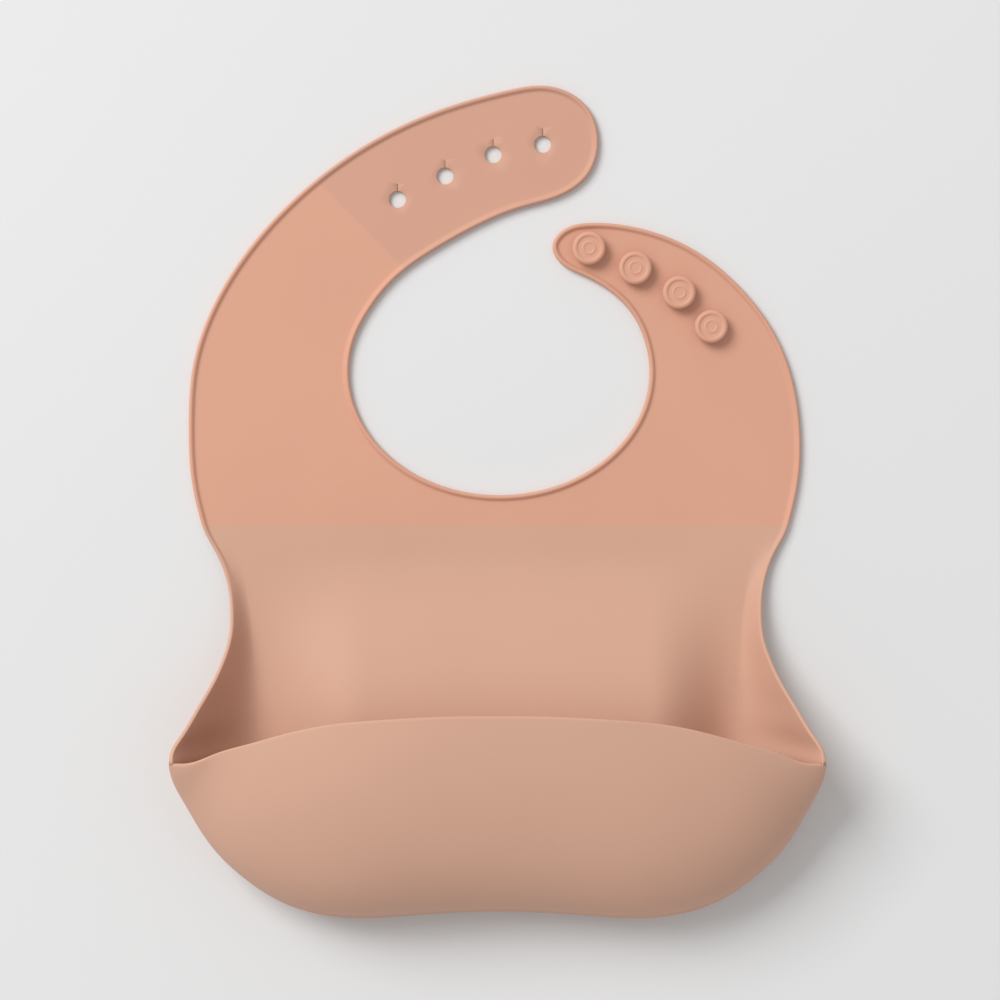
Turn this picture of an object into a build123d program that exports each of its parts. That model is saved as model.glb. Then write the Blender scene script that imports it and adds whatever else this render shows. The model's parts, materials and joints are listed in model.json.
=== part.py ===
from build123d import *
import math
import os

# Silicone bib, lying on its back as it lies on a table. Millimetres, +Z up, +Y towards the neck.
# Origin: under the middle of the bib, on the surface that it lies on.

# --- driving dimensions ---
WEB = 1.5                # thickness of the flat silicone sheet and of the pocket's walls
BEAD_WIDTH = 2.3         # raised bead round every free edge
BEAD_HEIGHT = 2.6
LIP_LENGTH = 2.2         # how far the pocket's lip stands past the wall
LIP_THICKNESS = 2.0
BODY_GAP = 0.3           # clearance between two pieces that bend against each other
CORNER_GAP = 2.4         # added to it where the fold climbs to the pocket's corners
WAIST_Y = -9.0           # crease between the chest and the pocket's back
MIDDLE_LEAN = -0.01      # the bib's middle line leans this much to the side for each millimetre in Y
MIDDLE_FOOT = -102.0     # Y where the middle line crosses X = 0
CUTTER = 40.0            # height of the cutters, well past the sheet on both sides

NECK_CENTRE = (0.5, 46.4)
NECK_RADII = (54.0, 44.3)
BEND_CENTRE = (1.0, 49.0)                            # the straps' creases point at this place
HOLE_STRAP_BENDS = (160.0, 135.0, 114.0)             # degrees round BEND_CENTRE
STUD_STRAP_BENDS = (-1.0, 29.0)
BETWEEN_TIPS = 60.0                                  # the strap tips lie on either side of this angle
BEND_INNER, BEND_OUTER = 30.0, 125.0                 # a crease cut runs between these radii

HOLE_DIAMETER = 6.0
SLIT_LENGTH, SLIT_WIDTH = 2.8, 0.3
SLIT_OVERLAP = 0.3       # how far a slit runs into its hole
HOLES = ((-36.1, 108.4), (-19.0, 116.8), (-1.7, 124.5), (16.1, 128.2))
STUDS = ((32.6, 90.6), (49.2, 83.5), (64.9, 74.7), (76.4, 62.5))
STUD_NECK, STUD_NECK_TOP = 6.4, 3.4                  # the neck holds the thickness of one strap
STUD_HEAD, STUD_TOP = 11.9, 6.4
STUD_ROUND = 1.2
STUD_DISH, STUD_DISH_DEPTH = 8.6, 0.35

# Outline of the flat sheet, anticlockwise from the right waist. It runs a little past the waist.
RIGHT_SIDE = (
    (95.6, -31.0), (100.1, -18.5), (104.9, -7.5), (107.6, 4.0), (108.8, 24.0), (106.6, 41.0),
    (99.6, 60.0), (86.5, 77.5), (68.5, 91.5), (50.0, 98.3), (33.0, 100.0),
)
STUD_TIP = ((24.0, 97.8), (19.6, 92.0), (22.4, 85.6))
STUD_STRAP_INSIDE = ((30.6, 81.0), (38.9, 76.4))
HOLE_STRAP_INSIDE = ((-37.5, 79.4), (-23.8, 89.6), (-8.6, 98.2), (7.5, 105.0), (23.0, 109.8))
HOLE_TIP = ((32.6, 117.2), (36.2, 129.2), (32.0, 141.8), (19.5, 149.0))
LEFT_SIDE = (
    (3.0, 147.6), (-18.7, 141.5), (-45.0, 129.6), (-68.0, 113.4), (-88.0, 92.8), (-102.0, 71.0),
    (-109.6, 49.0), (-111.2, 28.0), (-109.6, 4.0), (-106.8, -7.5), (-101.8, -18.5), (-97.0, -31.0),
)
NECK_ARC = (30, -216)    # the neck follows its ellipse clockwise between these angles
NECK_STEP = 15           # degrees between the points that place it
INSET_POINTS = 110       # points that place the bead's inner edge

# Pocket, left half: rim or fold of the outer surface (x, y, z), and where that wall meets the flat back.
GUSSET = (
    ((-106.3, -9.15, 0.0), (-95.0, -9.15)),
    ((-101.9, -18.0, 1.0), (-92.5, -19.0)),
    ((-97.0, -31.1, 4.0), (-90.0, -31.0)),
    ((-96.0, -39.7, 6.5), (-88.8, -40.0)),
    ((-96.2, -48.1, 9.5), (-88.0, -48.5)),
    ((-98.4, -56.5, 13.0), (-87.2, -57.0)),
    ((-101.8, -64.7, 18.0), (-86.6, -64.5)),
    ((-106.1, -72.7, 23.5), (-86.0, -71.5)),
    ((-111.1, -81.7, 29.5), (-85.3, -79.0)),
    ((-114.6, -91.7, 35.0), (-84.6, -88.0)),
)
# The same round the bottom, with the place of the lip above each point.
BOTTOM = (
    ((-114.6, -91.7, 35.0), (-84.6, -88.0), None),
    ((-113.6, -96.8, 32.5), (-84.0, -93.0), (-110.5, -90.6, 36.2)),
    ((-109.6, -105.8, 28.0), (-82.6, -100.5), (-103.0, -87.4, 38.0)),
    ((-105.2, -115.0, 22.5), (-80.6, -108.0), (-94.0, -84.3, 40.0)),
    ((-99.5, -124.2, 17.5), (-77.6, -115.5), (-85.0, -81.9, 42.0)),
    ((-90.8, -133.2, 13.5), (-72.8, -122.5), (-74.0, -79.4, 44.0)),
    ((-77.8, -141.9, 11.0), (-64.6, -128.5), (-60.0, -77.1, 46.0)),
    ((-57.0, -147.6, 10.0), (-52.0, -132.5), (-43.0, -75.2, 48.0)),
    ((-28.0, -146.5, 10.0), (-27.0, -132.5), (-21.0, -74.0, 49.5)),
    ((0.4, -145.2, 10.0), (0.3, -131.5), (-0.3, -73.7, 50.0)),
)
SAMPLES = 6              # points across a wall's section
STEPS = 2                # sections between two of the points above

os.makedirs("parts", exist_ok=True)


def save(name, solids):
    shape = solids[0] if len(solids) == 1 else Compound(children=solids)
    export_step(shape, "parts/" + name + ".step")


# --- the flat sheet: chest and two straps ---
def ellipse_point(degrees):
    a = math.radians(degrees)
    return (
        NECK_CENTRE[0] + NECK_RADII[0] * math.cos(a),
        NECK_CENTRE[1] + NECK_RADII[1] * math.sin(a),
    )


def outline():
    """The chest and straps in plan, with the neck opening's edge as part of one curve."""
    neck = tuple(ellipse_point(a) for a in range(NECK_ARC[0], NECK_ARC[1], -NECK_STEP))
    right = RIGHT_SIDE + STUD_TIP + STUD_STRAP_INSIDE
    left = HOLE_STRAP_INSIDE + HOLE_TIP + LEFT_SIDE
    return Spline(*(right + neck + left)).edge()


def moved_inwards(edge, distance):
    """The same curve at a distance to its left, which is the inside of an anticlockwise outline."""
    points = []
    for k in range(INSET_POINTS + 1):
        place, along = edge.position_at(k / INSET_POINTS), edge.tangent_at(k / INSET_POINTS)
        points.append((place.X - distance * along.Y, place.Y + distance * along.X))
    return Spline(*points).edge()


def filled(edge):
    return make_face([edge, Line(edge.position_at(1), edge.position_at(0)).edge()])


def polar(radius, degrees):
    a = math.radians(degrees)
    return (BEND_CENTRE[0] + radius * math.cos(a), BEND_CENTRE[1] + radius * math.sin(a))


def crease(degrees):
    """A narrow cutter across a strap, along a line from the bend centre."""
    middle = polar((BEND_INNER + BEND_OUTER) / 2, degrees)
    return Pos(middle[0], middle[1], 0) * Rot(0, 0, degrees) * Box(BEND_OUTER - BEND_INNER, BODY_GAP, CUTTER)


def angle_of(solid):
    c = solid.center(CenterOf.MASS)
    return math.degrees(math.atan2(c.Y - BEND_CENTRE[1], c.X - BEND_CENTRE[0]))


def by_strap(shape):
    """Sorts the solids that the creases leave into the chest and the strap segments."""
    found = {"chest": [], "hole_strap_root": [], "hole_strap_middle": [], "hole_strap_tip": [],
             "stud_strap_root": [], "stud_strap_tip": []}
    for solid in shape.solids():
        a = angle_of(solid)
        if a < STUD_STRAP_BENDS[0]:
            found["chest"].append(solid)
        elif a < STUD_STRAP_BENDS[1]:
            found["stud_strap_root"].append(solid)
        elif a < BETWEEN_TIPS:
            found["stud_strap_tip"].append(solid)
        elif a < HOLE_STRAP_BENDS[2]:
            found["hole_strap_tip"].append(solid)
        elif a < HOLE_STRAP_BENDS[1]:
            found["hole_strap_middle"].append(solid)
        elif a < HOLE_STRAP_BENDS[0]:
            found["hole_strap_root"].append(solid)
        else:
            found["chest"].append(solid)
    return found


def flat_sheet():
    edge = outline()
    whole, inside = filled(edge), filled(moved_inwards(edge, BEAD_WIDTH))
    below_waist = Box(300, 100, CUTTER, align=(Align.CENTER, Align.MAX, Align.CENTER))
    below_waist = Pos(0, WAIST_Y + BODY_GAP / 2, 0) * below_waist
    web = extrude(inside, WEB) - below_waist
    bead = extrude(whole, BEAD_HEIGHT) - extrude(inside, BEAD_HEIGHT) - below_waist
    for degrees in HOLE_STRAP_BENDS + STUD_STRAP_BENDS:
        web -= crease(degrees)
        bead -= crease(degrees)
    for x, y in HOLES:
        web -= Pos(x, y, 0) * Cylinder(HOLE_DIAMETER / 2, CUTTER)
        slit_y = y + (HOLE_DIAMETER + SLIT_LENGTH) / 2 - SLIT_OVERLAP
        web -= Pos(x, slit_y, 0) * Box(SLIT_WIDTH, SLIT_LENGTH, CUTTER)
    return web, bead


def save_flat_sheet():
    web, bead = flat_sheet()
    for name, solids in by_strap(web).items():
        save("chest_panel" if name == "chest" else name, solids)
    beads = by_strap(bead)
    chest = beads.pop("chest")
    for name, solids in beads.items():
        save(name + "_bead", solids)
    save("chest_left_bead", [s for s in chest if s.bounding_box().max.X < 0])
    save("chest_right_bead", [s for s in chest if s.bounding_box().min.X > 0])
    save("neckline_bead", [s for s in chest if s.bounding_box().min.X < 0 < s.bounding_box().max.X])


# --- studs ---
def stud(x, y):
    neck = Pos(x, y, (WEB + STUD_NECK_TOP) / 2) * Cylinder(STUD_NECK / 2, STUD_NECK_TOP - WEB)
    head = Pos(x, y, (STUD_NECK_TOP + STUD_TOP) / 2) * Cylinder(STUD_HEAD / 2, STUD_TOP - STUD_NECK_TOP)
    head = fillet(head.edges().filter_by(GeomType.CIRCLE), STUD_ROUND)
    dish = Pos(x, y, STUD_TOP) * Cylinder(STUD_DISH / 2, 2 * STUD_DISH_DEPTH)
    return neck + head - dish


# --- pocket walls ---
def bezier(points, t):
    """Place and direction at t on a cubic curve in a wall's own plane: (distance inward, height)."""
    a, b, c, d = points
    u = 1 - t
    place = [u**3 * a[i] + 3 * u * u * t * b[i] + 3 * u * t * t * c[i] + t**3 * d[i] for i in (0, 1)]
    slope = [3 * (u * u * (b[i] - a[i]) + 2 * u * t * (c[i] - b[i]) + t * t * (d[i] - c[i])) for i in (0, 1)]
    length = math.hypot(*slope) or 1.0
    return place, (slope[0] / length, slope[1] / length)


def wall_section(start, direction, curve, thickness, t0, t1, side, level_start=False):
    """Closed thin section of a wall: its outer curve, and the same curve moved inwards."""
    outer, inner = [], []
    for k in range(SAMPLES):
        (s, z), (ds, dz) = bezier(curve, t0 + (t1 - t0) * k / (SAMPLES - 1))
        ns, nz = -dz * side, ds * side
        outer.append((start[0] + s * direction[0], start[1] + s * direction[1], z))
        if k == 0 and level_start:
            ns, nz = 1 / ns, 0
        s, z = s + thickness * ns, z + thickness * nz
        inner.append((start[0] + s * direction[0], start[1] + s * direction[1], z))
    edges = [Spline(*outer), Line(outer[-1], inner[-1]), Spline(*reversed(inner)), Line(inner[0], outer[0])]
    return Wire([e.edge() for e in edges])


def towards(a, b):
    run = math.hypot(b[0] - a[0], b[1] - a[1])
    return run, ((b[0] - a[0]) / run, (b[1] - a[1]) / run)


def tray_curve(rim, valley, lean):
    """From the rim down to the flat back: upright at the bottom fold (lean 0), slanting at the gussets."""
    run, direction = towards(rim, valley)
    z = rim[2]
    curve = ((0, z), (0.25 * run * lean, z * (0.45 + 0.15 * lean)), ((0.4 + 0.15 * lean) * run, 0), (run, 0))
    return run, direction, curve


def tray_sections(stations, thickness, span):
    """span is 'web', from the bead to the flat back, 'bead', or 'all'."""
    sections = []
    for rim, valley, lean in stations:
        run, direction, curve = tray_curve(rim, valley, lean)
        split = BEAD_WIDTH / (3 * math.hypot(curve[1][0] - curve[0][0], curve[1][1] - curve[0][1]) or run)
        split = min(split, BEAD_WIDTH / (0.7 * math.hypot(run, rim[2])))
        t0, t1 = {"web": (split, 1), "bead": (0, split), "all": (0, 1)}[span]
        sections.append(wall_section(rim, direction, curve, thickness, t0, t1, 1, span == "all"))
    return sections


def mirrored(point):
    """The same place on the other side of the leaning middle line."""
    middle = MIDDLE_LEAN * (point[1] - MIDDLE_FOOT)
    return (2 * middle - point[0],) + tuple(point[1:])


def between(points, place):
    """A point on the smooth curve through points; place counts them from 0."""
    k = min(int(place), len(points) - 2)
    t = place - k
    before, after = points[max(k - 1, 0)], points[min(k + 2, len(points) - 1)]
    here, there = points[k], points[k + 1]
    found = []
    for p0, p1, p2, p3 in zip(before, here, there, after):
        m1, m2 = (p2 - p0) / 2, (p3 - p1) / 2
        found.append(
            (2 * t**3 - 3 * t**2 + 1) * p1 + (t**3 - 2 * t**2 + t) * m1
            + (3 * t**2 - 2 * t**3) * p2 + (t**3 - t**2) * m2
        )
    return tuple(found)


def refined(points):
    return [between(points, k / STEPS) for k in range(STEPS * (len(points) - 1) + 1)]


def both_sides(half):
    """A left half that ends on the middle, continued by its mirror image."""
    return half + [mirrored(p) for p in reversed(half[:-1])]


def lip_curve(fold, lip):
    run, direction = towards(fold, lip)
    climb = (fold[2] - BOTTOM[-1][0][2]) / BOTTOM[0][0][2]
    low, high = fold[2] + BODY_GAP + CORNER_GAP * climb, lip[2]
    rise = high - low
    curve = ((0, low), (0, low + 0.38 * rise), (0.52 * run, high - 0.12 * rise), (run, high))
    return direction, curve


def front_stations():
    folds = both_sides(refined([fold for fold, valley, lip in BOTTOM])[STEPS:])
    lips = both_sides(refined([lip for fold, valley, lip in BOTTOM[1:]]))
    return list(zip(folds, lips))


def front_wall():
    sections = []
    for fold, lip in front_stations():
        direction, curve = lip_curve(fold, lip)
        sections.append(wall_section(fold, direction, curve, WEB, 0, 1, -1))
    return Solid.make_loft(sections, ruled=True)


def pocket_lip():
    """A slightly thicker rolled edge that carries the wall on past the lip line."""
    sections = []
    extra = (LIP_THICKNESS - WEB) / 2
    profile = ((0, 0), (0, WEB), (0.5, WEB + extra), (LIP_LENGTH - 0.5, WEB + extra), (LIP_LENGTH, WEB),
               (LIP_LENGTH, 0), (LIP_LENGTH - 0.5, -extra), (0.5, -extra))
    for fold, lip in front_stations():
        direction, curve = lip_curve(fold, lip)
        (s, z), (ds, dz) = bezier(curve, 1)
        ns, nz = dz, -ds
        ring = []
        for along, across in profile:
            ps, pz = s + along * ds + across * ns, z + along * dz + across * nz
            ring.append((fold[0] + ps * direction[0], fold[1] + ps * direction[1], pz))
        edges = [Edge.make_line(a, b) for a, b in zip(ring, ring[1:] + ring[:1])]
        sections.append(Wire(edges))
    return Solid.make_loft(sections, ruled=True)


def gusset_stations():
    rims = refined([rim for rim, valley in GUSSET])
    valleys = refined([valley for rim, valley in GUSSET])
    return [(rim, valley, 1.0) for rim, valley in zip(rims, valleys)]


def mirrored_stations(stations):
    return [(mirrored(rim), mirrored(valley), lean) for rim, valley, lean in reversed(stations)]


def trough_stations():
    folds = refined([fold for fold, valley, lip in BOTTOM])
    valleys = refined([valley for fold, valley, lip in BOTTOM])
    last = len(folds) - 1
    half = [(fold, valley, 1 - k / last) for k, (fold, valley) in enumerate(zip(folds, valleys))]
    return half + mirrored_stations(half[:-1])


def save_pocket():
    gusset, trough = gusset_stations(), trough_stations()
    bottom = Solid.make_loft(tray_sections(trough, WEB, "all"), ruled=True)
    side = [valley for rim, valley, lean in gusset]
    round_bottom = [valley for fold, valley, lean in trough]
    corners = side + round_bottom[1:] + [mirrored(v) for v in reversed(side[:-1])]
    panel = extrude(make_face(Polyline(*corners, close=True).edges()), WEB)
    save("lower_panel", panel.solids())
    save("pocket_bottom", [bottom])
    for side_name, stations in (("left", gusset), ("right", mirrored_stations(gusset))):
        web = Solid.make_loft(tray_sections(stations, WEB, "web"), ruled=True)
        bead = Solid.make_loft(tray_sections(stations, BEAD_HEIGHT, "bead"), ruled=True)
        save(side_name + "_gusset", [web])
        save(side_name + "_gusset_bead", [bead])
    save("front_wall", [front_wall()])
    save("pocket_lip", [pocket_lip()])


save_flat_sheet()
for number, place in enumerate(STUDS, 1):
    save("stud_%d" % number, stud(*place).solids())
save_pocket()
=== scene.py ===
import json
import math

import bmesh
import bpy
import numpy as np
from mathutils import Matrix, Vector
from mathutils.geometry import delaunay_2d_cdt


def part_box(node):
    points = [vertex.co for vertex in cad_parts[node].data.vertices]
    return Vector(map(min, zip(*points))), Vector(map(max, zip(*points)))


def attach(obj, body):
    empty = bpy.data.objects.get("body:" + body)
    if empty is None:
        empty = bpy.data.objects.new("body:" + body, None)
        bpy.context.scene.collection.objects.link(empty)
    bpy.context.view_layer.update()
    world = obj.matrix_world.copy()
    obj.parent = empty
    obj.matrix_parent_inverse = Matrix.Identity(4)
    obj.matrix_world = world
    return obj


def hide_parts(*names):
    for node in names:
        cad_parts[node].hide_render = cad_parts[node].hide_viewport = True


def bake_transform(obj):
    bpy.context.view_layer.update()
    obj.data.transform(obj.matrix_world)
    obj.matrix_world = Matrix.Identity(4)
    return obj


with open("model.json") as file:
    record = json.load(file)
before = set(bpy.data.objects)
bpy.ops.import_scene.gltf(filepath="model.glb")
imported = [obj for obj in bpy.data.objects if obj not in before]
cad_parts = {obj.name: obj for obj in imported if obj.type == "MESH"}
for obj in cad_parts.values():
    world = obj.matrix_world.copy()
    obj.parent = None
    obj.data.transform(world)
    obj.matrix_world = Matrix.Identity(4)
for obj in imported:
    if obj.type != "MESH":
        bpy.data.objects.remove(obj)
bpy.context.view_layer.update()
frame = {"record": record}

MM = 0.001

# Sizes and places of the flat sheet, in millimetres, the same as in the CAD model. The outline leaves out the
# points past the waist.
WEB = 1.5                # sheet thickness
NECK_CENTRE = (0.5, 46.4)
NECK_RADII = (54.0, 44.3)
BEND_CENTRE = (1.0, 49.0)
WAIST_Y = -9.0
MIDDLE_LEAN = -0.01      # the middle line's step in X for each millimetre in Y
MIDDLE_FOOT = -102.0     # Y where it crosses X = 0
HOLE_RADIUS = 3.0
SLIT_LENGTH = 2.8
HOLES = ((-36.1, 108.4), (-19.0, 116.8), (-1.7, 124.5), (16.1, 128.2))
HOLE_STRAP_BENDS = (160.0, 135.0, 114.0)
STUD_STRAP_BENDS = (-1.0, 29.0)
NECK_ARC = range(30, -216, -15)      # the neck's points, in degrees clockwise

RIGHT_SIDE = (
    (104.9, -7.5), (107.6, 4.0), (108.8, 24.0), (106.6, 41.0),
    (99.6, 60.0), (86.5, 77.5), (68.5, 91.5), (50.0, 98.3), (33.0, 100.0),
)
STUD_TIP = ((24.0, 97.8), (19.6, 92.0), (22.4, 85.6))
STUD_STRAP_INSIDE = ((30.6, 81.0), (38.9, 76.4))
HOLE_STRAP_INSIDE = ((-37.5, 79.4), (-23.8, 89.6), (-8.6, 98.2), (7.5, 105.0), (23.0, 109.8))
HOLE_TIP = ((32.6, 117.2), (36.2, 129.2), (32.0, 141.8), (19.5, 149.0))
LEFT_SIDE = (
    (3.0, 147.6), (-18.7, 141.5), (-45.0, 129.6), (-68.0, 113.4), (-88.0, 92.8), (-102.0, 71.0),
    (-109.6, 49.0), (-111.2, 28.0), (-109.6, 4.0), (-106.8, -7.5),
)
# Left side wall: its rim (x, y, z), and where it meets the flat back. The rim has one more point than in the
# CAD model, and its corner is 1 mm lower.
GUSSET = (
    ((-106.3, -9.15, 0.0), (-95.0, -9.15)),
    ((-101.9, -18.0, 1.0), (-92.5, -19.0)),
    ((-97.0, -31.1, 4.0), (-90.0, -31.0)),
    ((-96.0, -39.7, 6.5), (-88.8, -40.0)),
    ((-96.2, -48.1, 9.5), (-88.0, -48.5)),
    ((-98.4, -56.5, 13.0), (-87.2, -57.0)),
    ((-101.8, -64.7, 18.0), (-86.6, -64.5)),
    ((-106.1, -72.7, 23.5), (-86.0, -71.5)),
    ((-111.1, -81.7, 29.5), (-85.3, -79.0)),
    ((-114.3, -87.6, 32.4), (-84.9, -84.2)),
    ((-114.6, -91.7, 34.0), (-84.6, -88.0)),
)
# Left half of the pocket's bottom: fold, where it meets the flat back, and the lip above it. The fold and the
# lip come down from the corner sooner than in the CAD model.
BOTTOM = (
    ((-114.6, -91.7, 34.0), (-84.6, -88.0), (-114.6, -91.7, 34.0)),
    ((-114.0, -97.0, 29.5), (-84.0, -93.0), (-107.5, -91.3, 36.6)),
    ((-110.4, -106.5, 21.5), (-82.6, -100.5), (-97.0, -87.3, 39.4)),
    ((-105.9, -115.8, 15.5), (-80.6, -108.0), (-86.5, -84.0, 41.7)),
    ((-99.9, -124.8, 12.0), (-77.6, -115.5), (-76.0, -80.9, 43.7)),
    ((-91.0, -133.4, 10.6), (-72.8, -122.5), (-64.0, -77.9, 45.5)),
    ((-77.8, -141.8, 10.0), (-64.6, -128.5), (-51.0, -76.0, 47.3)),
    ((-57.0, -147.5, 10.0), (-52.0, -132.5), (-36.0, -74.8, 48.8)),
    ((-28.0, -146.8, 10.0), (-27.0, -132.5), (-18.0, -73.9, 49.7)),
    ((0.4, -145.5, 10.0), (0.3, -131.5), (-0.3, -73.7, 50.0)),
)

# The bulge of the pocket's back: its height, its limits in X and Y, and how far each slope runs.
DOME = 15.0
DOME_LEFT, DOME_LEFT_SLOPE = -90.0, 42.0
DOME_RIGHT, DOME_RIGHT_SLOPE = 84.0, 29.0
DOME_TOP, DOME_RISE = -18.0, 66.0
DOME_FOOT, DOME_FALL = -131.0, 34.0

# Mould parting line along the pocket's bottom: (share of the wall's length, height), and where it fades.
PARTING_LINE = ((0.058, 0.0), (0.0615, 0.32), (0.065, 0.5), (0.069, 0.35), (0.074, 0.0))
PARTING_HALF, PARTING_FADE = 96.0, 26.0
LINE_CLEAR = 0.006       # rows of the wall this near to the line's own rows are left out
FULL_RUN = 66.0          # the front wall has its full bulge where it is this deep in plan
BEAD_FADE = 26.0         # past the waist, the side walls' rims lose their bead over this length
SLIT_HALF, SLIT_TAPER = 0.07, 0.45   # half the slit's width, and the share that it loses by its end
HOLE_ROUND = 0.22        # how much wider a hole is on the sheet's two faces

# Section of the free edge: distance from the edge, and height above the outer side, in millimetres. The first
# and last points lie on the sheet's two sides. The third value is the bead's height, scaled by its share.
EDGE_SECTION = (
    (3.4, 0.0, 0.0), (1.9, 0.0, 0.0), (0.8, 0.0, 0.0), (0.35, 0.08, 0.0), (0.1, 0.34, 0.0), (0.0, 0.7, 0.08),
    (0.02, 0.98, 0.3), (0.12, 1.24, 0.6), (0.3, 1.4, 0.86), (0.55, 1.48, 1.04), (0.85, 1.5, 1.1),
    (1.15, 1.5, 1.04), (1.45, 1.5, 0.84), (1.75, 1.5, 0.5), (2.0, 1.5, 0.2), (2.25, 1.5, 0.05),
    (2.7, 1.5, 0.0), (3.4, 1.5, 0.0),
)
# Sections of a fastening hole's wall: how much wider than the hole, and height.
HOLE_WALL = ((0.07, 0.1), (0.0, 0.35), (0.0, WEB - 0.35), (0.07, WEB - 0.1))

# Studs, in millimetres: head, neck, the foot that flares into the sheet, and how deep it starts in it.
STUDS = ("stud_1", "stud_2", "stud_3", "stud_4")
HEAD_RADIUS, HEAD_UNDER, HEAD_TOP = 5.95, 3.4, 6.4
UNDER_ROUND, TOP_ROUND, TOP_ROUND_ANGLE = 0.9, 1.15, 115
NECK_RADIUS, FOOT_RADIUS, FLARE_HEIGHT = 3.2, 4.2, 0.9
FOOT_DEPTH, FOOT_EDGE = 0.6, 0.02
NECK_TO_HEAD = ((NECK_RADIUS, 0.25), (3.35, 0.05), (3.7, 0.0))       # radius, depth below the head
# The head's shallow dish with a soft ring in it: radius, and depth below the top.
DISH = (
    (4.15, 0.32), (3.85, 0.4), (3.4, 0.42), (2.75, 0.42), (2.5, 0.38), (2.3, 0.24), (2.1, 0.2),
    (1.9, 0.24), (1.7, 0.38), (1.45, 0.42), (0.8, 0.42), (0, 0.42),
)
STUD_TURN = 72           # points round a stud

# Colours and tones.
PEACH = (0.70, 0.37, 0.26)
# Below the waist the pocket's tone is paler and less saturated: a painted sheen for the sheen the tilted back
# catches from the key light.
PANEL_PAINTED_SHEEN = (0.93, 1.04, 1.08)
# Past the hole strap's middle crease the tone is slightly darker and less saturated: painted shade for the
# tip's slight tilt away from the key light.
STRAP_PAINTED_SHADE = (0.93, 0.965, 1.0)
DRIFT_LOW, DRIFT_HIGH = (0.965, 0.955, 0.945), (1.035, 1.03, 1.02)   # slow drift of tone
TONE_STEP = 0.5          # half the width of the change to the painted sheen and painted shade tones, in millimetres
FLOOR_LOW, FLOOR_HIGH = 0.765, 0.785

# Stage, in metres and watts.
FLOOR_HALF = 3.0
FLOOR_DROP = 0.0002      # keeps the floor clear of the bib's own underside
KEY_PLACE, KEY_SIZE, KEY_POWER = (-1.9, 1.7, 2.5), 1.9, 92.0
STUDIO_LIGHT = 0.54
CAMERA_PLACE, LENS, SENSOR = (0.00072, 0.00036, 1.0), 100.0, 36.0

# Strap pieces: the bodies on either side, the crease, the side that moves, and half the length that bends.
STRAPS = (
    ("hole_strap_lower", "chest", "hole_strap_root", HOLE_STRAP_BENDS[0], -1, 10.0),
    ("hole_strap_middle_part", "hole_strap_root", "hole_strap_middle", HOLE_STRAP_BENDS[1], -1, 8.5),
    ("hole_strap_end", "hole_strap_middle", "hole_strap_tip", HOLE_STRAP_BENDS[2], -1, 8.5),
    ("stud_strap_lower", "chest", "stud_strap_root", STUD_STRAP_BENDS[0], 1, 10.0),
    ("stud_strap_upper", "stud_strap_root", "stud_strap_tip", STUD_STRAP_BENDS[1], 1, 5.0),
)

# Mesh fineness.
EDGE_STEP = 1.6          # along the free edge
COLUMN_STEP = 2.2        # along the pocket's bottom
LATTICE = 3.4            # between points inside the flat sheet
RING = 3.4               # width of the band that holds the edge bead
WALL_ROWS = 30
TRAY_ROWS = 16
HOLE_POINTS = 41
TRAY_CROWD, CORNER_CROWD, WALL_CROWD = 1.25, 1.35, 1.15      # powers that crowd rows or columns to one end
WAIST_TURN = 6.0         # the band turns straight across at the waist over this many stations
CORNER_SHARE = 0.4       # share of the band's width that is left at the pocket's corners
CORNER_RUN = 12.0        # the side walls' band narrows to it over this length
LIP_GAIN, LIP_RUN = 0.2, 14.0        # along the lip the band widens by this share, over this length
SAME = 1e-6              # lengths under this are nothing
TRAY_SHARES = np.linspace(0, 1, TRAY_ROWS) ** TRAY_CROWD

# Where the sheet is cut into pieces: angles round BEND_CENTRE, and lines in X and Y.
# The hole strap's cuts lie halfway between its creases, and the stud strap's a little past halfway.
PAST_CREASE = 13.0       # degrees from each strap's first crease into the chest
HOLE_STRAP_START = HOLE_STRAP_BENDS[0] + PAST_CREASE
HOLE_STRAP_CUTS = tuple((a + b) / 2 for a, b in zip(HOLE_STRAP_BENDS, HOLE_STRAP_BENDS[1:]))
STUD_STRAP_START = STUD_STRAP_BENDS[0] - PAST_CREASE
STUD_STRAP_CUT = 16.5
POCKET_TOP = -21.5
TIPS_X, TIPS_Y = 12.0, 103.0         # the stud strap lies past this X and below this Y


# --- curves ---
def spline(points, knots=None):
    """Natural cubic curve through points. Returns a function of the knot parameter, and the knots."""
    p = np.array(points, float)
    if knots is None:
        knots = np.concatenate([[0], np.cumsum(np.linalg.norm(np.diff(p, axis=0), axis=1))])
    h = np.diff(knots)
    n = len(p)
    a = np.zeros((n, n))
    r = np.zeros_like(p)
    a[0, 0] = a[-1, -1] = 1
    for i in range(1, n - 1):
        a[i, i - 1:i + 2] = h[i - 1], 2 * (h[i - 1] + h[i]), h[i]
        r[i] = 6 * ((p[i + 1] - p[i]) / h[i] - (p[i] - p[i - 1]) / h[i - 1])
    m = np.linalg.solve(a, r)

    def at(t):
        t = np.atleast_1d(np.asarray(t, float))
        k = np.clip(np.searchsorted(knots, t, side="right") - 1, 0, n - 2)
        d, u = (t - knots[k])[:, None], h[k][:, None]
        v = u - d
        return (
            m[k] * v**3 / (6 * u) + m[k + 1] * d**3 / (6 * u)
            + (p[k] / u - m[k] * u / 6) * v + (p[k + 1] / u - m[k + 1] * u / 6) * d
        )

    return at, np.asarray(knots)


def mirrored(points):
    """The same places on the other side of the leaning middle line, in reverse order."""
    points = np.array(points[::-1], float)
    points[:, 0] = 2 * MIDDLE_LEAN * (points[:, 1] - MIDDLE_FOOT) - points[:, 0]
    return points


def even(start, end, step):
    return np.linspace(start, end, max(2, int(round((end - start) / step)) + 1))


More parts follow.
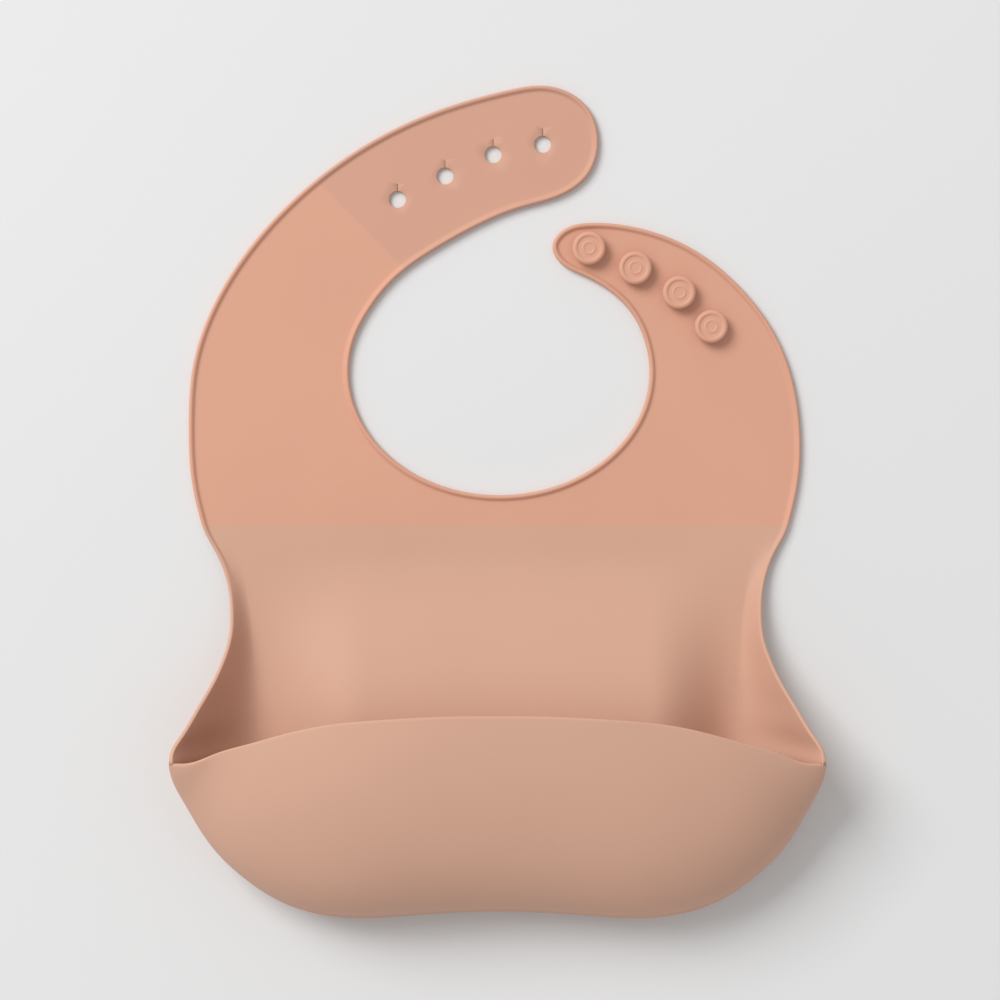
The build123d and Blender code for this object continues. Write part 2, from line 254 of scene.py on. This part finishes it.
def bezier(c, t):
    t = np.asarray(t)[:, None]
    u = 1 - t
    c = np.array(c, float)
    return u**3 * c[0] + 3 * u * u * t * c[1] + 3 * u * t * t * c[2] + t**3 * c[3]


def smooth(x):
    x = np.clip(x, 0, 1)
    return x * x * (3 - 2 * x)


# --- the free edge and the pocket's columns ---
def ellipse_point(degrees):
    a = math.radians(degrees)
    return (NECK_CENTRE[0] + NECK_RADII[0] * math.cos(a), NECK_CENTRE[1] + NECK_RADII[1] * math.sin(a))


def edge_chain():
    """The free edge from the right corner of the pocket, round both straps, to the left corner."""
    rims = [rim for rim, valley in GUSSET]
    neck = [ellipse_point(a) for a in NECK_ARC]
    flat = list(RIGHT_SIDE + STUD_TIP + STUD_STRAP_INSIDE) + neck
    flat += HOLE_STRAP_INSIDE + HOLE_TIP + LEFT_SIDE
    points = list(mirrored(rims)) + [(x, y, 0.0) for x, y in flat] + rims
    curve, knots = spline(points)
    first, last = len(rims) - 1, len(points) - len(rims)
    return curve, knots, first, last


def tray_profile(rim, valley, lean):
    run = math.hypot(valley[0] - rim[0], valley[1] - rim[1])
    direction = np.array([(valley[0] - rim[0]) / run, (valley[1] - rim[1]) / run, 0])
    z = rim[2]
    c = ((0, z), (0.25 * run * lean, z * (0.45 + 0.15 * lean)), ((0.4 + 0.15 * lean) * run, 0), (run, 0))
    return direction, c


def wall_profile(fold, lip):
    run = max(math.hypot(lip[0] - fold[0], lip[1] - fold[1]), SAME)
    direction = np.array([(lip[0] - fold[0]) / run, (lip[1] - fold[1]) / run, 0])
    low, high = fold[2], lip[2]
    rise = high - low
    full = smooth(run / FULL_RUN)
    c = (
        (0, low), (0, low + (0.34 + 0.26 * full) * rise),
        ((0.55 - 0.17 * full) * run, high - (0.2 - 0.15 * full) * rise), (run, high),
    )
    return direction, c


def by_length(start, direction, c, places):
    """Points on a profile at shares of its length. places is a function of the whole length."""
    t = np.linspace(0, 1, 121)
    flat = bezier(c, t)
    along = np.concatenate([[0], np.cumsum(np.linalg.norm(np.diff(flat, axis=0), axis=1))])
    want = np.interp(places(along[-1]), along, t)
    sz = bezier(c, want)
    out = np.zeros((len(sz), 3))
    out[:, :2] = np.array(start[:2]) + sz[:, :1] * direction[:2]
    out[:, 2] = sz[:, 1]
    return out


class Surface:
    """Vertices and faces, with equal points joined."""

    def __init__(self):
        self.points, self.index, self.faces = [], {}, []

    def add(self, p):
        key = tuple(np.round(p, 4))
        if key not in self.index:
            self.index[key] = len(self.points)
            self.points.append(tuple(map(float, p)))
        return self.index[key]

    def grid(self, rows):
        """rows is a list of equally long lists of vertex numbers."""
        for a, b in zip(rows, rows[1:]):
            for i in range(len(a) - 1):
                face = []
                for v in (a[i], a[i + 1], b[i + 1], b[i]):
                    if v not in face:
                        face.append(v)
                if len(face) > 2:
                    self.faces.append(face)


def inside(points, loop):
    """Which of the points lie inside a closed loop, in plan."""
    x, y = points[:, 0], points[:, 1]
    found = np.zeros(len(points), bool)
    px, py = loop[:, 0], loop[:, 1]
    qx, qy = np.roll(px, -1), np.roll(py, -1)
    for a, b, c, d in zip(px, py, qx, qy):
        if b == d:
            continue
        cross = ((b > y) != (d > y)) & (x < (c - a) * (y - b) / (d - b) + a)
        found ^= cross
    return found


def hole_loop(x, y, grow):
    """Edge of a fastening hole with its slit, in plan; grow widens it for the rounded rim."""
    r, half = HOLE_RADIUS + grow, SLIT_HALF + 0.5 * grow
    gap = math.asin(half / r)
    angles = np.linspace(math.pi / 2 + gap, 5 * math.pi / 2 - gap, HOLE_POINTS)
    loop = [(x + r * math.cos(a), y + r * math.sin(a)) for a in angles]
    for side, share in ((1, 0.45), (1, 0.85), (0, 1), (-1, 0.85), (-1, 0.45)):
        width = half * (1 - SLIT_TAPER * share) * side
        loop.append((x + width, y + HOLE_RADIUS + grow * 0.5 + SLIT_LENGTH * share))
    return loop


def dome(x, y):
    """The pocket's back bulges up between its side walls, steeply towards the deep fold on the right."""
    across = smooth((x - DOME_LEFT) / DOME_LEFT_SLOPE) * smooth((DOME_RIGHT - x) / DOME_RIGHT_SLOPE)
    along = smooth((DOME_TOP - y) / DOME_RISE) * smooth((y - DOME_FOOT) / DOME_FALL)
    return DOME * across * along


def with_parting_line(column, shares, direction):
    """A column of the front wall with the fine ridge that the mould's joint leaves."""
    fade = smooth((PARTING_HALF - abs(column[0, 0])) / PARTING_FADE)
    height = fade * np.interp(shares, *np.array(PARTING_LINE).T, left=0, right=0)
    along = np.gradient(column, axis=0)
    along /= np.linalg.norm(along, axis=1)[:, None] + 1e-9
    outward = -along[:, 2:] * direction + (along @ direction)[:, None] * np.array([0, 0, 1.0])
    return column + height[:, None] * outward


def band_directions(curve, t):
    """Level directions inwards from the flat edge. At the waist they turn to run exactly across."""
    along = curve(t + 0.05) - curve(t - 0.05)
    along[:, 2] = 0
    along /= np.linalg.norm(along, axis=1)[:, None]
    inward = np.stack([-along[:, 1], along[:, 0], np.zeros(len(t))], axis=1)
    inward[0], inward[-1] = (-1, 0, 0), (1, 0, 0)
    number = np.arange(len(t))
    turned_in = smooth(np.minimum(number, number[::-1]) / WAIST_TURN)[:, None]
    across = np.where((number < len(t) / 2)[:, None], (-1.0, 0, 0), (1.0, 0, 0))
    inward = inward * turned_in + across * (1 - turned_in)
    return inward / np.linalg.norm(inward, axis=1)[:, None]


def gusset_columns(curve, knots, last):
    """Left side wall, from the waist to the corner: its rim, shares of the band and bead, and columns."""
    t = even(knots[last], knots[-1], EDGE_STEP)
    valley_curve, _ = spline([valley for rim, valley in GUSSET], knots[last:] - knots[last])
    rims = curve(t)
    rims[0, 2] = 0
    valleys = valley_curve(t - knots[last])
    band = CORNER_SHARE + (1 - CORNER_SHARE) * smooth((knots[-1] - t) / CORNER_RUN)
    bead = 1 - smooth((t - knots[last]) / BEAD_FADE)
    columns = []
    for rim, valley, share in zip(rims, valleys, band):
        direction, c = tray_profile(rim, valley, 1.0)
        start = RING * share
        columns.append(by_length(rim, direction, c, lambda n: start + (n - start) * TRAY_SHARES))
    return rims, band, bead, columns


def wall_shares():
    """Shares of the front wall's length for its rows, with the parting line's own rows among them."""
    rows = 1 - (1 - np.linspace(0, 1, WALL_ROWS)) ** WALL_CROWD
    line = np.array([share for share, height in PARTING_LINE])
    clear = np.abs(rows[:, None] - line).min(1) > LINE_CLEAR
    return np.sort(np.concatenate([rows[clear], line]))


def bottom_columns(corner):
    """From the left corner to the middle: the lip, its share of the band, trough and front wall columns."""
    folds, lows, tops = [[station[i] for station in BOTTOM] for i in (0, 1, 2)]
    fold_curve, knots = spline(folds + list(mirrored(folds[:-1])))
    low_curve, _ = spline(lows + list(mirrored(lows[:-1])), knots)
    lip_curve, _ = spline(tops + list(mirrored(tops[:-1])), knots)
    middle = knots[len(BOTTOM) - 1]
    t = even(0, middle, COLUMN_STEP)
    t = middle * (t / middle) ** CORNER_CROWD
    folds, lips, lows = fold_curve(t), lip_curve(t), low_curve(t)
    band = [CORNER_SHARE + LIP_GAIN * smooth(place / LIP_RUN) for place in t]
    shares = wall_shares()
    trough, wall = [corner], [np.repeat(corner[:1], len(shares), axis=0)]
    for k in range(1, len(t)):
        direction, c = tray_profile(folds[k], lows[k], 1 - t[k] / middle)
        trough.append(by_length(folds[k], direction, c, lambda n: n * TRAY_SHARES))
        direction, c = wall_profile(folds[k], lips[k])
        end = RING * band[k]
        column = by_length(folds[k], direction, c, lambda n: (n - end) * shares)
        column[0] = trough[-1][0]
        wall.append(with_parting_line(column, shares, direction))
    return lips, band, trough, wall


def flipped(columns):
    return [mirrored(column[::-1]) for column in reversed(columns)]


def build_skin():
    """The outer skin, the stations of its free edge, and the holes' loops of vertex numbers. A station is
    an edge point, the vertex at the band's inner side, and shares of the band's width and of the bead."""
    curve, knots, first, last = edge_chain()
    outer = Surface()
    t = even(knots[first], knots[last], EDGE_STEP)
    edge = curve(t)
    edge[:, 2] = 0
    inner = edge + RING * band_directions(curve, t)
    border = [outer.add(q) for q in inner]
    stations = [(place, v, 1.0, 1.0) for place, v in zip(edge, border)]

    rims, band, bead, side = gusset_columns(curve, knots, last)
    lips, lip_band, trough, wall = bottom_columns(side[-1])
    tray = side + trough[1:] + flipped(trough)[1:] + flipped(side)[1:]
    # The waist ends of the side walls share the flat edge's band.
    tray[0][0], tray[-1][0] = inner[-1], inner[0]
    for column in (tray[0], tray[-1]):
        column[:, 2] = 0
    tray_ids = [[outer.add(q) for q in column] for column in tray]
    wall_ids = [[outer.add(q) for q in column] for column in wall + flipped(wall)[1:]]
    outer.grid(tray_ids)
    outer.grid(wall_ids)

    # The edge goes on round the left side wall, the lip and the right side wall.
    for k in range(1, len(side)):
        stations.append((rims[k], tray_ids[k][0], band[k], bead[k]))
    lips = list(lips) + list(mirrored(lips[:-1]))
    lip_band = lip_band + lip_band[::-1][1:]
    for k in range(1, len(lips) - 1):
        stations.append((lips[k], wall_ids[k][-1], lip_band[k], 0.0))
    for k in range(len(side) - 1, 0, -1):
        stations.append((mirrored(rims[k:k + 1])[0], tray_ids[-1 - k][0], band[k], bead[k]))

    # The flat inside, filled with an even lattice.
    boundary = border + tray_ids[0][1:] + [ids[-1] for ids in tray_ids[1:-1]] + tray_ids[-1][:0:-1]
    holes = [[outer.add((*q, 0.0)) for q in hole_loop(x, y, HOLE_ROUND)] for x, y in HOLES]
    fill(outer, [boundary] + holes)
    return outer, stations, holes


def fill(surface, loops):
    points = np.array(surface.points)
    rims = [points[loop][:, :2] for loop in loops]
    lo, hi = rims[0].min(0), rims[0].max(0)
    lattice = []
    for j, y in enumerate(np.arange(lo[1], hi[1], LATTICE * math.sqrt(0.75))):
        for x in np.arange(lo[0] + (j % 2) * LATTICE / 2, hi[0], LATTICE):
            lattice.append((x, y))
    lattice = np.array(lattice)
    keep = inside(lattice, rims[0])
    for rim in rims[1:]:
        keep &= ~inside(lattice, rim)
    every = np.concatenate(rims)
    for start in range(0, len(lattice), 500):
        part = lattice[start:start + 500]
        near = np.linalg.norm(part[:, None] - every[None], axis=2).min(1)
        keep[start:start + 500] &= near > 0.55 * LATTICE
    lattice = lattice[keep]
    coords = [Vector(q) for rim in rims for q in rim] + [Vector(q) for q in lattice]
    ids = [v for loop in loops for v in loop] + [surface.add((x, y, 0.0)) for x, y in lattice]
    edges, at = [], 0
    for loop in loops:
        n = len(loop)
        edges += [(at + i, at + (i + 1) % n) for i in range(n)]
        at += n
    verts, _, faces, origin, _, _ = delaunay_2d_cdt(coords, edges, [], 0, 1e-7, True)
    back = [ids[o[0]] for o in origin]
    centres = np.array([[sum(verts[v].x for v in f) / 3, sum(verts[v].y for v in f) / 3] for f in faces])
    keep = inside(centres, rims[0])
    for rim in rims[1:]:
        keep &= ~inside(centres, rim)
    for f, kept in zip(faces, keep):
        if kept:
            surface.faces.append([back[v] for v in f])


def oriented(points, faces):
    """Faces turned to agree with each other, and the vertices' normals."""
    bm = bmesh.new()
    verts = [bm.verts.new(q) for q in points]
    for f in faces:
        bm.faces.new([verts[v] for v in f])
    bm.verts.index_update()
    bmesh.ops.recalc_face_normals(bm, faces=bm.faces[:])
    bm.normal_update()
    normals = np.array([v.normal for v in verts])
    faces = [[v.index for v in f.verts] for f in bm.faces]
    bm.free()
    return faces, normals


def close_skin(outer, stations, holes):
    """Gives the outer skin its thickness, its rounded edges and beads, and the holes' walls."""
    points = np.array(outer.points)
    points[:, 2] += dome(points[:, 0], points[:, 1]) * (points[:, 2] < SAME)
    faces, normals = oriented(points, outer.faces)
    if normals[np.abs(points[:, 2]) < SAME, 2].mean() > 0:
        normals, faces = -normals, [f[::-1] for f in faces]
    n = len(points)
    solid = Surface()
    solid.points = [tuple(q) for q in points] + [tuple(q) for q in points - WEB * normals]
    solid.faces = faces + [[v + n for v in reversed(f)] for f in faces]

    rings = []
    for edge, border, share, bead in stations:
        low, high = points[border], points[border] - WEB * normals[border]
        reach = low - edge
        width = np.linalg.norm(reach)
        reach /= width
        up = (high - low) / WEB
        ring = [border]
        for d, h, extra in EDGE_SECTION[1:-1]:
            place = edge + reach * d * width / RING + up * (h + extra * bead)
            solid.points.append(tuple(place))
            ring.append(len(solid.points) - 1)
        ring.append(border + n)
        rings.append(ring)
    solid.grid(rings + rings[:1])

    for loop, (x, y) in zip(holes, HOLES):
        rows = [loop]
        for grow, z in HOLE_WALL:
            row = []
            for q in hole_loop(x, y, grow):
                solid.points.append((*q, z))
                row.append(len(solid.points) - 1)
            rows.append(row)
        rows.append([v + n for v in loop])
        solid.grid([r + r[:1] for r in rows])
    return solid


# --- pieces ---
def polar(points):
    return np.degrees(np.arctan2(points[:, 1] - BEND_CENTRE[1], points[:, 0] - BEND_CENTRE[0]))


def sort_faces(centres):
    """The piece that each face belongs to, from where its middle lies."""
    a = polar(centres)
    x, y = centres[:, 0], centres[:, 1]
    piece = np.full(len(centres), "chest_sheet", dtype=object)
    stud_side = (x > TIPS_X) & (a > STUD_STRAP_START) & (y < TIPS_Y)
    hole_side = ~stud_side & (a > 0) & (a < HOLE_STRAP_START)
    piece[stud_side] = "stud_strap_lower"
    piece[stud_side & (a >= STUD_STRAP_CUT)] = "stud_strap_upper"
    piece[hole_side] = "hole_strap_lower"
    piece[hole_side & (a < HOLE_STRAP_CUTS[0])] = "hole_strap_middle_part"
    piece[hole_side & (a < HOLE_STRAP_CUTS[1])] = "hole_strap_end"
    piece[y < POCKET_TOP] = "pocket"
    return piece


def make_mesh(name, points, faces, normals):
    used = sorted({v for f in faces for v in f})
    number = {v: i for i, v in enumerate(used)}
    mesh = bpy.data.meshes.new(name)
    mesh.from_pydata([tuple(points[v] * MM) for v in used], [], [[number[v] for v in f] for f in faces])
    mesh.shade_smooth()
    mesh.update()
    rest = mesh.attributes.new("rest_place", "FLOAT_VECTOR", "POINT")
    rest.data.foreach_set("vector", (points[used]).astype(np.float32).ravel())
    if normals is not None:
        mesh.normals_split_custom_set_from_vertices([tuple(normals[v]) for v in used])
    obj = bpy.data.objects.new(name, mesh)
    bpy.context.scene.collection.objects.link(obj)
    return obj


def build_sheet(sheet_material_painted_sheen, strap_material_painted_shade):
    solid = close_skin(*build_skin())
    points = np.array(solid.points)
    all_faces, normals = oriented(points, solid.faces)
    centres = np.array([points[f].mean(0) for f in all_faces])
    piece = sort_faces(centres)
    made = {}
    for name in sorted(set(piece)):
        faces = [f for f, p in zip(all_faces, piece) if p == name]
        made[name] = make_mesh(name, points, faces, normals)
        # Pieces past the hole strap's middle crease take the material with the painted shade.
        gets_painted_shade = name in ("hole_strap_middle_part", "hole_strap_end")
        made[name].data.materials.append(strap_material_painted_shade if gets_painted_shade else sheet_material_painted_sheen)
    return made


# --- studs ---
def turned(profile, count):
    """Points and faces of a profile (radius, height) turned round Z; it starts and ends on the axis."""
    points, rows = [], []
    for r, z in profile:
        if r < SAME:
            points.append((0, 0, z))
            rows.append([len(points) - 1] * count)
            continue
        row = []
        for k in range(count):
            a = 2 * math.pi * k / count
            points.append((r * math.cos(a), r * math.sin(a), z))
            row.append(len(points) - 1)
        rows.append(row)
    surface = Surface()
    surface.grid([r + r[:1] for r in rows])
    return np.array(points), surface.faces


def stud_profile():
    """A neck that flares into the sheet, under a round flat head with a soft ring and a shallow dish."""
    foot = WEB - FOOT_EDGE
    profile = [(0, WEB - FOOT_DEPTH), (FOOT_RADIUS, WEB - FOOT_DEPTH), (FOOT_RADIUS, foot)]
    for k in range(1, 6):
        a = math.radians(90 * k / 5)
        flare = (FOOT_RADIUS - NECK_RADIUS) * math.sin(a)
        profile.append((FOOT_RADIUS - flare, foot + FLARE_HEIGHT * (1 - math.cos(a))))
    profile += [(r, HEAD_UNDER - depth) for r, depth in NECK_TO_HEAD]
    for k in range(7):
        a = math.radians(-90 + 90 * k / 6)
        r, z = HEAD_RADIUS - UNDER_ROUND, HEAD_UNDER + UNDER_ROUND
        profile.append((r + UNDER_ROUND * math.cos(a), z + UNDER_ROUND * math.sin(a)))
    for k in range(1, 9):
        a = math.radians(TOP_ROUND_ANGLE * k / 8)
        r, z = HEAD_RADIUS - TOP_ROUND, HEAD_TOP - TOP_ROUND
        profile.append((r + TOP_ROUND * math.cos(a), z + TOP_ROUND * math.sin(a)))
    return profile + [(r, HEAD_TOP - depth) for r, depth in DISH]


def build_studs(material):
    made = {}
    for name in STUDS:
        lo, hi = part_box(name)
        centre = (np.array(lo) + np.array(hi)) / 2 / MM
        points, faces = turned(stud_profile(), STUD_TURN)
        points = points + (centre[0], centre[1], 0)
        obj = make_mesh("snap_" + name, points, faces, None)
        bm = bmesh.new()
        bm.from_mesh(obj.data)
        bmesh.ops.recalc_face_normals(bm, faces=bm.faces[:])
        bm.to_mesh(obj.data)
        bm.free()
        obj.data.materials.append(material)
        made[name] = obj
    return made


# --- material ---
def node(tree, kind, **values):
    made = tree.nodes.new(kind)
    for key, value in values.items():
        if key in made.inputs:
            made.inputs[key].default_value = value
        else:
            setattr(made, key, value)
    return made


def tinted(color, factors):
    return [min(1.0, c * f) for c, f in zip(color, factors)]


def silicone(name, near, far, line_point, line_normal):
    """Matte silicone. Its tone changes across one straight line in plan, from near to far along the normal;
    the far tone is painted light, painted sheen on the pocket and painted shade on the strap tip.
    """
    material = bpy.data.materials.new(name)
    material.use_nodes = True
    tree = material.node_tree
    tree.nodes.clear()
    out = node(tree, "ShaderNodeOutputMaterial")
    shader = node(tree, "ShaderNodeBsdfPrincipled")
    link = tree.links.new
    link(shader.outputs[0], out.inputs[0])
    shader.inputs["Specular IOR Level"].default_value = 0.25
    shader.inputs["IOR"].default_value = 1.41
    shader.inputs["Sheen Weight"].default_value = 0.03
    shader.inputs["Sheen Roughness"].default_value = 0.5
    rest = node(tree, "ShaderNodeAttribute", attribute_name="rest_place")
    place = rest.outputs["Vector"]

    # Slow drift of tone, as moulded silicone has.
    drift = node(tree, "ShaderNodeTexNoise", Scale=0.018, Detail=2.0, Roughness=0.5)
    link(place, drift.inputs["Vector"])
    tones = []
    for color in (near, far):
        tone = node(tree, "ShaderNodeMix", data_type="RGBA")
        tone.inputs["A"].default_value = tinted(color, DRIFT_LOW) + [1]
        tone.inputs["B"].default_value = tinted(color, DRIFT_HIGH) + [1]
        link(drift.outputs["Fac"], tone.inputs["Factor"])
        tones.append(tone.outputs["Result"])

    # How far a point lies past the line where the painted tone starts, in millimetres, softened over
    # TONE_STEP.
    offset = sum(p * n for p, n in zip(line_point, line_normal))
    past = node(tree, "ShaderNodeVectorMath", operation="DOT_PRODUCT")
    past.inputs[1].default_value = (*line_normal, 0)
    link(place, past.inputs[0])
    step = node(tree, "ShaderNodeMapRange", interpolation_type="SMOOTHSTEP")
    step.inputs["From Min"].default_value = offset - TONE_STEP
    step.inputs["From Max"].default_value = offset + TONE_STEP
    link(past.outputs["Value"], step.inputs["Value"])
    # Past the line the painted sheen or painted shade tone of this material takes over.
    both = node(tree, "ShaderNodeMix", data_type="RGBA")
    link(step.outputs["Result"], both.inputs["Factor"])
    link(tones[0], both.inputs["A"])
    link(tones[1], both.inputs["B"])
    link(both.outputs["Result"], shader.inputs["Base Color"])

    # Fine soft-touch grain.
    grain = node(tree, "ShaderNodeTexNoise", Scale=3.2, Detail=3.0, Roughness=0.55)
    link(place, grain.inputs["Vector"])
    bump = node(tree, "ShaderNodeBump", Strength=0.06, Distance=0.0004)
    link(grain.outputs["Fac"], bump.inputs["Height"])
    link(bump.outputs["Normal"], shader.inputs["Normal"])
    rough = node(tree, "ShaderNodeMapRange")
    rough.inputs["To Min"].default_value = 0.5
    rough.inputs["To Max"].default_value = 0.62
    link(drift.outputs["Fac"], rough.inputs["Value"])
    link(rough.outputs["Result"], shader.inputs["Roughness"])
    return material


def floor_material():
    material = bpy.data.materials.new("pale_floor")
    material.use_nodes = True
    tree = material.node_tree
    shader = tree.nodes["Principled BSDF"]
    shader.inputs["Roughness"].default_value = 0.8
    shader.inputs["Specular IOR Level"].default_value = 0.2
    where = node(tree, "ShaderNodeTexCoord")
    noise = node(tree, "ShaderNodeTexNoise", Scale=3.0, Detail=3.0)
    tree.links.new(where.outputs["Object"], noise.inputs["Vector"])
    tone = node(tree, "ShaderNodeMix", data_type="RGBA")
    tone.inputs["A"].default_value = (FLOOR_LOW, FLOOR_LOW, FLOOR_LOW, 1)
    tone.inputs["B"].default_value = (FLOOR_HIGH, FLOOR_HIGH, FLOOR_HIGH, 1)
    tree.links.new(noise.outputs["Fac"], tone.inputs["Factor"])
    tree.links.new(tone.outputs["Result"], shader.inputs["Base Color"])
    return material


# --- stage ---
def build_stage():
    bm = bmesh.new()
    bmesh.ops.create_grid(bm, x_segments=2, y_segments=2, size=FLOOR_HALF)
    mesh = bpy.data.meshes.new("floor")
    bm.to_mesh(mesh)
    bm.free()
    floor = bpy.data.objects.new("floor", mesh)
    floor.location.z = -FLOOR_DROP
    mesh.materials.append(floor_material())
    bpy.context.scene.collection.objects.link(floor)


def build_lights():
    world = bpy.data.worlds.new("studio")
    bpy.context.scene.world = world
    world.use_nodes = True
    background = world.node_tree.nodes["Background"]
    background.inputs["Color"].default_value = (1, 1, 1, 1)
    background.inputs["Strength"].default_value = STUDIO_LIGHT
    data = bpy.data.lights.new("key", "AREA")
    data.size = KEY_SIZE
    data.energy = KEY_POWER
    light = bpy.data.objects.new("key", data)
    light.location = KEY_PLACE
    light.rotation_euler = (-Vector(KEY_PLACE)).to_track_quat("-Z", "Y").to_euler()
    bpy.context.scene.collection.objects.link(light)


def build_camera():
    data = bpy.data.cameras.new("camera")
    data.lens = LENS
    data.sensor_width = SENSOR
    camera = bpy.data.objects.new("camera", data)
    camera.location = CAMERA_PLACE
    bpy.context.scene.collection.objects.link(camera)
    bpy.context.scene.camera = camera


def set_plain_colours():
    """Colours are shown as they are, without a film look."""
    bpy.context.scene.view_settings.view_transform = "Standard"


# --- assembly ---
crease = math.radians(HOLE_STRAP_BENDS[1])
painted_shade_normal = (math.sin(crease), -math.cos(crease))
# Past the waist line the pocket takes the painted sheen: a paler, less saturated tone.
sheet_silicone_painted_sheen = silicone("peach_silicone_painted_sheen", PEACH, tinted(PEACH, PANEL_PAINTED_SHEEN), (0, WAIST_Y), (0, -1))
# Past the hole strap's middle crease the strap takes the painted shade: a slightly darker, less saturated
# tone.
strap_silicone_painted_shade = silicone("peach_strap_silicone_painted_shade", PEACH, tinted(PEACH, STRAP_PAINTED_SHADE), BEND_CENTRE, painted_shade_normal)
sheet = build_sheet(sheet_silicone_painted_sheen, strap_silicone_painted_shade)
studs = build_studs(sheet_silicone_painted_sheen)

pocket = sheet["pocket"]
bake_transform(pocket)
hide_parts("lower_panel", "left_gusset", "right_gusset", "left_gusset_bead", "right_gusset_bead",
            "pocket_bottom", "front_wall", "pocket_lip")

chest = sheet["chest_sheet"]
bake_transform(chest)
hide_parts("chest_panel", "chest_left_bead", "chest_right_bead", "neckline_bead")

for name, a, b, degrees, sign, half_width in STRAPS:
    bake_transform(sheet[name])
    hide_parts(b, b + "_bead")

for name, obj in studs.items():
    body = next(b for b, nodes in frame["record"]["behaviour"]["bodies"].items() if name in nodes)
    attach(obj, body)
    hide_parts(name)

build_stage()
build_lights()
build_camera()
set_plain_colours()
